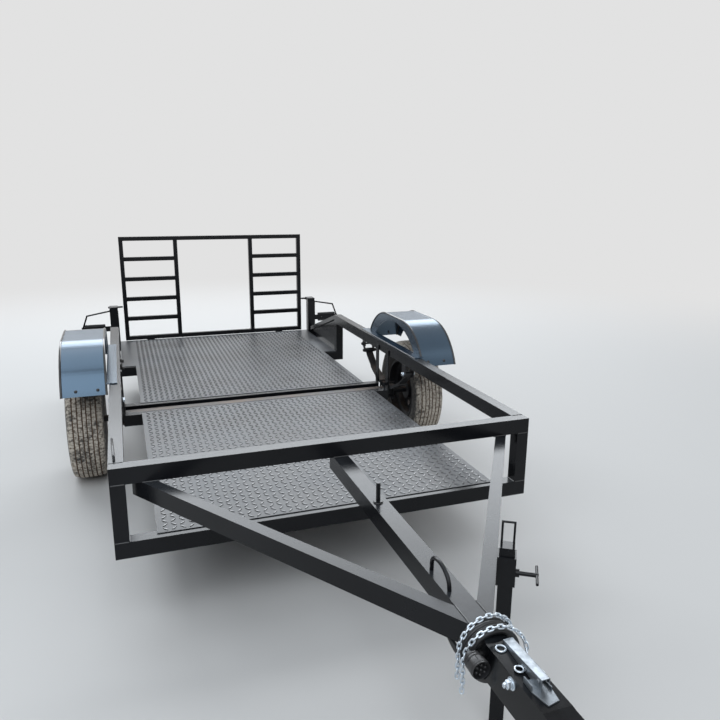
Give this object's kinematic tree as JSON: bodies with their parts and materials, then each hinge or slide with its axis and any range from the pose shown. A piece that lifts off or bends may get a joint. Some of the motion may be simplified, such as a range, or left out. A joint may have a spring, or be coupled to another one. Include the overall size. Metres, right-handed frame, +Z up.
{
  "type": "utility trailer",
  "caption": "Single axle utility trailer with a box section frame, steel floor, ladder gate, A-frame drawbar, ball coupler and sliding support leg.",
  "frame": {"origin": "centre of the whole trailer on the ground, under it", "axes": "+X towards the right side seen from the drawbar looking to the gate, +Y to the gate, +Z up"},
  "size_m": [2.04, 4.723, 1.137],
  "materials": {
    "axle_steel": "flat black paint, dirty",
    "cable_rubber": "matt black",
    "coupler_paint": "gloss black paint",
    "fender_paint": "gloss black paint",
    "floor_plate": "painted raised-pattern plate, dusty",
    "frame_paint": "semi-gloss black paint",
    "lamp_lens": "dark red lens",
    "rim_paint": "black paint with mud",
    "tyre": "worn, muddy",
    "zinc": "bright zinc plate"
  },
  "bodies": {
    "chassis": {"axle": "axle_steel", "centre_bar": "frame_paint", "centre_stud": "frame_paint", "coupler_body": "coupler_paint", "coupler_latch": "zinc", "cross_members": "frame_paint", "drawbar_left": "frame_paint", "drawbar_right": "frame_paint", "drop_struts": "frame_paint", "fender_left": "fender_paint", "fender_right": "fender_paint", "floor_bearers": "frame_paint", "front_floor": "floor_plate", "gate_hinges": "frame_paint", "gate_latch_left": "frame_paint", "gate_latch_right": "frame_paint", "hoop_bottom_rail": "frame_paint", "hoop_post_left": "frame_paint", "hoop_post_right": "frame_paint", "hoop_top_rail": "frame_paint", "lamp_bracket_left": "frame_paint", "lamp_bracket_right": "frame_paint", "lead_coil": "cable_rubber", "lead_plug": "cable_rubber", "lead_tube": "cable_rubber", "leaf_spring_left": "axle_steel", "leaf_spring_right": "axle_steel", "leg_sleeve": "frame_paint", "rear_floor": "floor_plate", "rear_lamp_left": "lamp_lens", "rear_lamp_right": "lamp_lens", "rear_post_left": "frame_paint", "rear_post_right": "frame_paint", "safety_chain_back": "zinc", "safety_chain_front": "zinc", "side_brace_left": "frame_paint", "side_brace_right": "frame_paint", "side_floors": "floor_plate", "side_rail_left": "frame_paint", "side_rail_right": "frame_paint", "spring_clamp_left": "axle_steel", "spring_clamp_right": "axle_steel", "spring_hangers_left": "axle_steel", "spring_hangers_right": "axle_steel", "tie_loop": "frame_paint"},
    "wheel_left": {"hub_left": "axle_steel", "rim_left": "rim_paint", "tyre_left": "tyre"},
    "wheel_right": {"hub_right": "axle_steel", "rim_right": "rim_paint", "tyre_right": "tyre"},
    "gate": {"gate_bottom_bar": "frame_paint", "gate_ladder_left": "frame_paint", "gate_ladder_right": "frame_paint", "gate_top_bar": "frame_paint"},
    "leg": {"sliding_leg": "frame_paint"}
  },
  "joints": [
    {"name": "wheel_left_spin", "type": "hinge", "parent": "chassis", "child": "wheel_left", "pos_m": [-0.932, 0.5255, 0.3], "axis": [1, 0, 0], "continuous": true},
    {"name": "wheel_right_spin", "type": "hinge", "parent": "chassis", "child": "wheel_right", "pos_m": [0.932, 0.5255, 0.3], "axis": [1, 0, 0], "continuous": true},
    {"name": "gate_fold", "type": "hinge", "parent": "chassis", "child": "gate", "pos_m": [0, 2.3525, 0.352], "axis": [-1, 0, 0], "range_deg": [0, 116]},
    {"name": "leg_slide", "type": "slide", "parent": "chassis", "child": "leg", "axis": [0, 0, 1], "range_m": [0, 0.42]}
  ]
}
